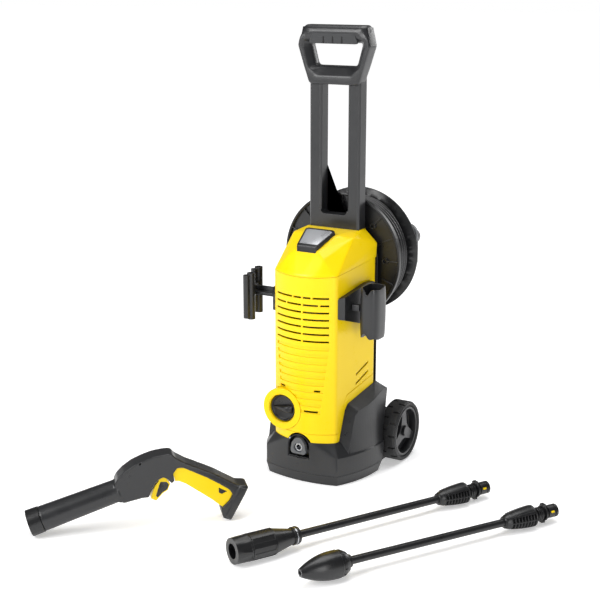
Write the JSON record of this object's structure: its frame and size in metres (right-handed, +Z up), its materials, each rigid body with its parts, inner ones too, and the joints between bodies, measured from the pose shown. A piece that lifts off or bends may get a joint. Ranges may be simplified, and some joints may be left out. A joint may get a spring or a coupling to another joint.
{
  "type": "pressure washer",
  "caption": "Upright electric pressure washer with a pull-out handle, a rear hose reel, two wheels, a trigger gun, and an adjustable and a rotary-jet lance.",
  "frame": {"origin": "on the floor, in the machine's middle plane, 89 mm ahead of the wheel axle", "axes": "+Z up, +Y to the rear, where the hose reel is, +X to the right as seen from the front"},
  "size_m": [0.7814, 0.7481, 0.84],
  "materials": {
    "yellow_plastic": "satin moulded plastic",
    "dark_plastic": "fine-grained moulded plastic",
    "black_plastic": "satin moulded plastic",
    "grey_plastic": "satin moulded plastic",
    "silver_plastic": "metallic lacquer on plastic",
    "tyre": "hard rubber-like plastic",
    "hose_rubber": "smooth rubber",
    "cast_aluminium": "die cast",
    "steel": "ground",
    "copper_winding": "varnished copper",
    "brass": "machined"
  },
  "bodies": {
    "machine": {"base_plate": "black_plastic", "base_tub": "dark_plastic", "front_housing": "yellow_plastic", "rear_housing": "black_plastic", "top_cap": "yellow_plastic", "badge_plate": "silver_plastic", "badge_frame": "black_plastic", "switch_ring": "yellow_plastic", "switch_box": "black_plastic", "outlet_bezel": "black_plastic", "outlet_socket": "steel", "water_inlet": "black_plastic", "inlet_strainer": "silver_plastic", "cable_gland": "black_plastic", "pump_block": "cast_aluminium", "pump_pistons": "steel", "piston_springs": "steel", "gear_case": "cast_aluminium", "motor_stator": "steel", "motor_housing": "black_plastic", "motor_bearings": "steel", "capacitor": "grey_plastic", "wheel_axle": "steel", "axle_caps": "black_plastic", "lance_holder": "dark_plastic", "lance_holder_plate": "black_plastic", "gun_holder": "dark_plastic", "gun_holder_plate": "black_plastic", "reel_spindle": "dark_plastic"},
    "handle": {"handle_frame": "dark_plastic", "handle_grip": "dark_plastic"},
    "reel": {"reel_front_flange": "black_plastic", "reel_drum": "black_plastic", "hose_winding": "hose_rubber", "reel_rear_flange": "black_plastic", "crank_arm": "grey_plastic"},
    "crank_handle": {"crank_knob": "dark_plastic"},
    "left_wheel": {"wheel_left": "dark_plastic", "tread_left": "tyre"},
    "right_wheel": {"wheel_right": "dark_plastic", "tread_right": "tyre"},
    "switch": {"switch_knob": "black_plastic"},
    "outlet_button": {"outlet_release": "grey_plastic"},
    "rotor": {"motor_rotor": "copper_winding", "cooling_fan": "black_plastic"},
    "wobble": {"wobble_gear": "steel"},
    "gun": {"gun_shell_left": "dark_plastic", "gun_shell_right": "dark_plastic", "gun_socket": "black_plastic", "gun_valve": "brass"},
    "trigger": {"gun_trigger": "yellow_plastic"},
    "trigger_lock": {"gun_lock": "black_plastic"},
    "release_lever": {"gun_release": "yellow_plastic"},
    "vario": {"vario_lance": "black_plastic", "vario_grip": "black_plastic"},
    "vario_nozzle": {"vario_head": "black_plastic"},
    "jet": {"jet_lance": "black_plastic", "jet_grip": "black_plastic", "jet_nozzle": "black_plastic"},
    "jet_spinner": {"jet_rotor": "brass"}
  },
  "joints": [
    {"name": "handle_slide", "type": "slide", "parent": "machine", "child": "handle", "axis": [0, 0, 1], "range_m": [-0.25, 0]},
    {"name": "reel_spin", "type": "hinge", "parent": "machine", "child": "reel", "pos_m": [0, 0.09, 0.40465], "axis": [0, 1, 0], "continuous": true},
    {"name": "crank_handle_spin", "type": "hinge", "parent": "reel", "child": "crank_handle", "pos_m": [0.092, 0.16, 0.43065], "axis": [0, 1, 0], "continuous": true},
    {"name": "left_wheel_spin", "type": "hinge", "parent": "machine", "child": "left_wheel", "pos_m": [-0.113, 0.089, 0.059], "axis": [1, 0, 0], "continuous": true},
    {"name": "right_wheel_spin", "type": "hinge", "parent": "machine", "child": "right_wheel", "pos_m": [0.113, 0.089, 0.059], "axis": [1, 0, 0], "continuous": true},
    {"name": "switch_turn", "type": "hinge", "parent": "machine", "child": "switch", "pos_m": [-0.036, -0.105, 0.139], "axis": [0, 1, 0], "range_deg": [0, 90]},
    {"name": "outlet_press", "type": "slide", "parent": "machine", "child": "outlet_button", "axis": [0, 1, 0], "range_m": [0, 0.003], "stiffness_N_per_m": 800, "springref_m": -0.002},
    {"name": "motor_spin", "type": "hinge", "parent": "machine", "child": "rotor", "pos_m": [0, -0.02925, 0.23], "axis": [0, 0, 1], "continuous": true},
    {"name": "wobble_spin", "type": "hinge", "parent": "machine", "child": "wobble", "pos_m": [0, -0.058, 0.14], "axis": [0, 0, 1], "continuous": true},
    {"name": "gun_lift", "type": "slide", "parent": "machine", "child": "gun", "axis": [0, 0, 1], "range_m": [0, 0.3]},
    {"name": "trigger_pull", "type": "hinge", "parent": "gun", "child": "trigger", "pos_m": [-0.10135, -0.37907, 0.1065], "axis": [0.6782, -0.7349, 0], "range_deg": [0, 5.5], "stiffness_Nm_per_rad": 2, "springref_deg": -8.59},
    {"name": "trigger_lock_slide", "type": "slide", "parent": "trigger", "child": "trigger_lock", "axis": [-0.6782, 0.7349, 0], "range_m": [0, 0.0025]},
    {"name": "release_pull", "type": "hinge", "parent": "gun", "child": "release_lever", "pos_m": [-0.112, -0.3889, 0.096], "axis": [0.6782, -0.7349, 0], "range_deg": [0, 8], "stiffness_Nm_per_rad": 0.4, "springref_deg": -8.59},
    {"name": "vario_lift", "type": "slide", "parent": "machine", "child": "vario", "axis": [0, 0, 1], "range_m": [0, 0.3]},
    {"name": "vario_turn", "type": "hinge", "parent": "vario", "child": "vario_nozzle", "pos_m": [0.10713, -0.40895, 0.02342], "axis": [0.4856, 0.8742, -0.0096], "range_deg": [0, 150]},
    {"name": "jet_lift", "type": "slide", "parent": "machine", "child": "jet", "axis": [0, 0, 1], "range_m": [0, 0.3]},
    {"name": "jet_spin", "type": "hinge", "parent": "jet", "child": "jet_spinner", "pos_m": [0.23103, -0.43649, 0.0235], "axis": [0.5183, 0.8551, -0.0099], "continuous": true}
  ],
  "couplings": [
    {"joint": "wobble_spin", "follows": "motor_spin", "ratio": -0.27778}
  ]
}
